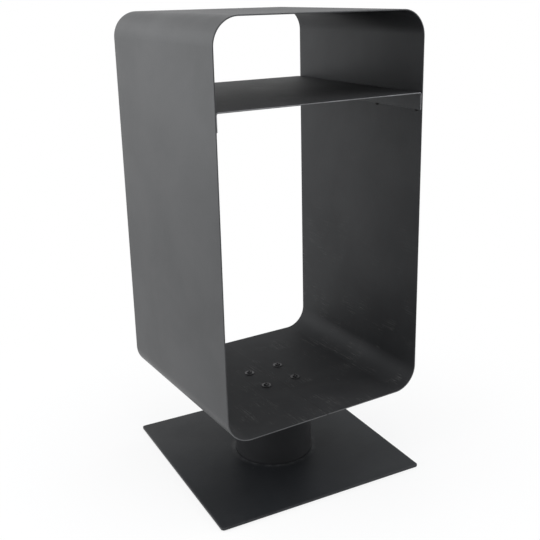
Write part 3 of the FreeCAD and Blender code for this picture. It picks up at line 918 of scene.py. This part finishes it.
def foot_highlight_ring(tree, place):
    """A painted highlight ring on the plate round the column's foot, stronger in patches."""
    ring_from, ring_full, ring_fading, ring_to = 75.5 * MM, 77.5 * MM, 78 * MM, 88 * MM
    away = distance(tree, stretch(tree, place, (1.0, 1.0, 0.0)))
    starting = remap(tree, away, ring_from, ring_full)
    ending = remap(tree, away, ring_fading, ring_to, to_low=1.0, to_high=0.0)
    patches = noise_value(tree, place, scale=60.0, detail=4.0, roughness=0.65)
    strength = remap(tree, patches, low=0.35, high=0.65, to_low=0.05, to_high=0.32)
    return product(tree, starting, ending, strength)


def dust_and_back_sheen(tree, place):
    """A thin film of dust on the plate, lighter towards the back as a painted sheen."""
    sheen_start, sheen_full = -20 * MM, 190 * MM
    clouds = noise_value(tree, place, scale=9.0, detail=5.0, roughness=0.6)
    film = remap(tree, clouds, low=0.3, high=0.7, to_low=0.03, to_high=0.075)
    return product(tree, remap(tree, axes(tree, place)["Y"], sheen_start, sheen_full), film)


def plate_coating():
    """The same coating on the plate, painted darker as shade, a painted highlight ring at the foot,
    scuffs, dust.
    """
    worn, dust = 0.5, 0.01
    finish, tree, place, shader = new_finish("Satin coating on the plate", Specular_IOR_Level=0.2,
                                             Specular_Tint=COLD_GLOSS)
    # The darker plate colours are painted shade
    colour, roughness, height = coat_layers(tree, place, PLATE_SHADED_DARK, PLATE_SHADED_LIGHT, BASE_EDGE, worn, dust)
    specks = noise_value(tree, place, scale=110.0, detail=4.0, roughness=0.7)
    scuffs = remap(tree, specks, low=0.71, high=0.76, to_high=0.6)
    # Painted highlight ring round the column's foot
    colour = blend_colours(tree, foot_highlight_ring(tree, place), colour, SCUFF_AND_HIGHLIGHT_TONE)
    colour = blend_colours(tree, scuffs, colour, SCUFF_AND_HIGHLIGHT_TONE)
    # Dust, with a painted sheen that grows towards the back
    colour = blend_colours(tree, dust_and_back_sheen(tree, place), colour, DUST_AND_SHEEN_TONE)
    feed(tree, shader, colour, roughness)
    add_bump(tree, shader, height, COAT_RELIEF, COAT_DEPTH)
    return finish


def weld_coating(name, dark, light):
    """Weld beads under the coating, darker and duller than the sheet."""
    worn, dust, dulling = 0.3, 0.008, 0.12
    finish, tree, place, shader = new_finish(name, Specular_IOR_Level=0.2)
    colour, roughness, height = coat_layers(tree, place, dark, light, BASE_EDGE, worn, dust)
    feed(tree, shader, colour, maths(tree, "ADD", roughness, dulling))
    add_bump(tree, shader, height, WELD_RELIEF, COAT_DEPTH)
    return finish


def felt():
    """Pressed dark wool felt."""
    fibre_scale, relief, depth = (2600.0, 900.0, 1500.0), 0.9, 0.3 * MM
    finish, tree, place, shader = new_finish("Pressed felt", Specular_IOR_Level=0.1, Sheen_Weight=0.4,
                                             Sheen_Roughness=0.6)
    drawn_out = stretch(tree, place, fibre_scale)
    fibres = noise_value(tree, drawn_out, scale=1.0, detail=4.0, roughness=0.7, distortion=1.5)
    tufts = noise_value(tree, place, scale=320.0, detail=3.0, roughness=0.6)
    colour = blend_colours(tree, remap(tree, fibres, low=0.3, high=0.7), FELT_DARK, FELT_LIGHT)
    feed(tree, shader, colour, remap(tree, tufts, low=0.3, high=0.7, to_low=0.85))
    add_bump(tree, shader, maths(tree, "ADD", fibres, tufts), relief, depth)
    return finish


def metal(name, dark, light, smooth, rough, pitch=None, relief=0.15):
    """A bare or plated metal, turned where a pitch is given, and brighter on its rubbed edges."""
    worn, edge_lift, mark_dulling = 0.6, 1.6, 0.08
    finish, tree, place, shader = new_finish(name, Metallic=1.0)
    marks = use_group(tree, HANDLING, place, Scale=90.0)["Mask"]
    edges = use_group(tree, EDGE, place, Amount=worn)["Mask"]
    if pitch:
        rings = use_group(tree, TURNING, place, Pitch=pitch)
        height, shade = rings["Height"], rings["Shade"]
    else:
        grain = use_group(tree, GRAIN, place, Grain=4000.0, Peel=900.0, Clouds=120.0)
        height, shade = grain["Height"], grain["Cloud"]
    bright = tuple(min(1.0, channel * edge_lift) for channel in light[:3]) + (1,)
    colour = blend_colours(tree, shade, dark, light)
    colour = blend_colours(tree, edges, colour, bright)
    roughness = remap(tree, height, low=0.3, high=0.7, to_low=smooth, to_high=rough)
    roughness = maths(tree, "ADD", roughness, product(tree, marks, mark_dulling))
    feed(tree, shader, colour, roughness)
    add_bump(tree, shader, height, relief, FINE_DEPTH)
    return finish


def nylon():
    """Natural moulded nylon, faintly mottled by grease."""
    smooth, rough, relief = 0.4, 0.55, 0.1
    finish, tree, place, shader = new_finish("Moulded nylon", Subsurface_Weight=0.15)
    grain = use_group(tree, GRAIN, place, Grain=3000.0, Peel=700.0, Clouds=70.0)
    marks = use_group(tree, HANDLING, place, Scale=70.0)["Mask"]
    colour = blend_colours(tree, grain["Cloud"], NYLON_DARK, NYLON_LIGHT)
    colour = blend_colours(tree, marks, colour, GREASE)
    roughness = remap(tree, grain["Cloud"], low=0.0, high=1.0, to_low=smooth, to_high=rough)
    feed(tree, shader, colour, roughness)
    add_bump(tree, shader, grain["Height"], relief, FINE_DEPTH)
    return finish


def dress(piece, finish):
    """Give a piece or a node one finish."""
    piece.data.materials.clear()
    piece.data.materials.append(finish)


def line_tube(piece, finish):
    """Give the tube's faces that look at its middle a finish of their own: a duller copy, as painted
    shade.
    """
    low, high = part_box("shell")
    middle = (low + high) / 2
    piece.data.materials.append(finish)
    for face in piece.data.polygons:
        outwards = face.center - middle
        outwards.y = 0
        if face.normal.dot(outwards) < 0:
            face.material_index = 1


# Build and dress the pieces

# The tube's edge colour is partly rubbed bare, partly a painted highlight
tube_coat = sheet_coating("Satin coating on the tube", TUBE_EDGE_WEAR_AND_HIGHLIGHT, worn=0.8, specular=0.42)
# A less glossy copy of the tube's coating for its inside: painted shade
shaded_inside_coat = sheet_coating("Duller coating inside the tube, as painted shade", TUBE_EDGE_WEAR_AND_HIGHLIGHT, worn=0.8, specular=0.19)
# The shelf's edge colour is a painted highlight on its rubbed edges
shelf_coat = sheet_coating("Satin coating on the shelf", SHELF_EDGE_HIGHLIGHT, worn=1.0, specular=0.28)
column_coat = column_coating()
plate_coat = plate_coating()
bead_coat = weld_coating("Coated weld bead", WELD_DARK, WELD_LIGHT)
seam_coat = weld_coating("Coated seam", SEAM_DARK, SEAM_LIGHT)
felt_finish = felt()
alloy = metal("Turned aluminium", ALLOY_DARK, ALLOY_LIGHT, smooth=0.24, rough=0.4, pitch=2500.0)
zinc = metal("Zinc plating", ZINC_DARK, ZINC_LIGHT, smooth=0.22, rough=0.38)
black_oxide = metal("Black oxide", OXIDE_DARK, OXIDE_LIGHT, smooth=0.3, rough=0.46)
polished = metal("Polished ball steel", BALL_DARK, BALL_LIGHT, smooth=0.06, rough=0.12, relief=0.02)
cage_nylon = nylon()

tube = make_tube()
dress(tube, tube_coat)
line_tube(tube, shaded_inside_coat)
dress(make_shelf(), shelf_coat)
dress(make_plate(), plate_coat)
dress(make_pedestal(), column_coat)
dress(make_seam_bead(), seam_coat)
for piece in (make_tacks("left", -1), make_tacks("right", 1),
              make_ring_bead("foot_bead", "pedestal_foot_weld", pitch=4 * MM),
              make_ring_bead("head_bead", "pedestal_head_weld", pitch=2.5 * MM)):
    dress(piece, bead_coat)
for piece in (make_carrier_screws(), make_washers()):
    dress(piece, black_oxide)
for corner in ("front_left", "front_right", "back_left", "back_right"):
    dress(make_pad(f"floor_pad_{corner}"), felt_finish)

kept_nodes = {
    "pedestal_head": column_coat,
    "bearing_outer_ring": alloy,
    "bearing_inner_ring": alloy,
    "outer_ring_screws": zinc,
    "ball_fill_plug": zinc,
    "bearing_balls": polished,
    "ball_cage": cage_nylon,
}
for name, finish in kept_nodes.items():
    dress(nodes[name], finish)
    if name != "bearing_balls":
        soften = nodes[name].modifiers.new("Broken edges", "BEVEL")
        soften.width = BROKEN_EDGE
        soften.segments = 2
        soften.limit_method = "ANGLE"
        soften.angle_limit = SHARP_ANGLE


# Floor, light and camera

WHITE = (1, 1, 1, 1)
FLOOR_PAINT = (0.9, 0.9, 0.9, 1)
SOFT_LIGHT = (0.95, 0.97, 1.0, 1)


def white_rays(tree):
    """One where the background shows: to the camera, in gloss and through glass."""
    rays = add_node(tree, "ShaderNodeLightPath").outputs
    seen = maths(tree, "MAXIMUM", rays["Is Camera Ray"], rays["Is Glossy Ray"])
    return maths(tree, "MAXIMUM", seen, rays["Is Transmission Ray"])


def make_floor():
    """A pale floor that takes the shadow near the plate and turns white further out."""
    half, shadow_to, white_from, white_share = 30.0, 0.3, 0.9, 0.8
    corners = [(-half, -half, 0), (half, -half, 0), (half, half, 0), (-half, half, 0)]
    mesh = bpy.data.meshes.new("studio floor")
    mesh.from_pydata(corners, [], [(0, 1, 2, 3)])
    floor = bpy.data.objects.new("studio_floor", mesh)
    scene.collection.objects.link(floor)
    finish = bpy.data.materials.new("Pale floor")
    finish.use_nodes = True
    tree = finish.node_tree
    tree.nodes.remove(tree.nodes["Principled BSDF"])
    paint = add_node(tree, "ShaderNodeBsdfDiffuse", {"Color": FLOOR_PAINT}).outputs[0]
    glow = add_node(tree, "ShaderNodeEmission", {"Color": WHITE, "Strength": 1.0}).outputs[0]
    away = distance(tree, add_node(tree, "ShaderNodeTexCoord").outputs["Object"])
    whitening = remap(tree, away, shadow_to, white_from, to_low=white_share)
    share = product(tree, white_rays(tree), whitening)
    mix = add_node(tree, "ShaderNodeMixShader", {0: share, 1: paint, 2: glow})
    tree.links.new(mix.outputs[0], tree.nodes["Material Output"].inputs["Surface"])
    floor.data.materials.append(finish)


def make_world():
    """A soft light from all round, and plain white where the background shows."""
    world = bpy.data.worlds.new("Studio")
    scene.world = world
    world.use_nodes = True
    tree = world.node_tree
    tree.nodes.remove(tree.nodes["Background"])
    ambient = add_node(tree, "ShaderNodeBackground", {"Color": SOFT_LIGHT, "Strength": 0.55}).outputs[0]
    white = add_node(tree, "ShaderNodeBackground", {"Color": WHITE, "Strength": 1.0}).outputs[0]
    mix = add_node(tree, "ShaderNodeMixShader", {0: white_rays(tree), 1: ambient, 2: white})
    tree.links.new(mix.outputs[0], tree.nodes["World Output"].inputs["Surface"])


def add_softbox(name, place, target, width, height, power):
    """A flat lamp at a place, turned to a target."""
    lamp = bpy.data.lights.new(name, "AREA")
    lamp.shape = "RECTANGLE"
    lamp.size, lamp.size_y = width, height
    lamp.energy = power
    softbox = bpy.data.objects.new(name, lamp)
    softbox.location = place
    softbox.rotation_euler = (Vector(target) - Vector(place)).to_track_quat("-Z", "Y").to_euler()
    scene.collection.objects.link(softbox)


def make_camera():
    """The camera, from the front and the left, a little above the holder."""
    lens = bpy.data.cameras.new("Camera")
    lens.lens = 56.47
    lens.sensor_width = 36
    lens.shift_x = -0.037
    lens.shift_y = -0.0463
    camera = bpy.data.objects.new("Camera", lens)
    camera.location = (-0.7731, -1.2987, 0.8814)
    camera.rotation_euler = [math.radians(angle) for angle in (73.129, 0.899, -32.522)]
    scene.collection.objects.link(camera)
    scene.camera = camera


make_floor()
make_world()
add_softbox("left_softbox", (-2.4, 0.9, 1.22), target=(0, 0, 0.6), width=4.0, height=2.3, power=68)
add_softbox("back_softbox", (-0.2, 2.8, 2.2), target=(0, 0, 0.6), width=3.2, height=2.0, power=9)
add_softbox("top_softbox", (0.2, -0.5, 2.9), target=(0, 0, 0.4), width=2.4, height=2.4, power=36)
add_softbox("right_fill", (2.4, -1.6, 0.9), target=(0, 0, 0.3), width=1.6, height=1.6, power=30)
make_camera()
scene.view_settings.view_transform = "Standard"
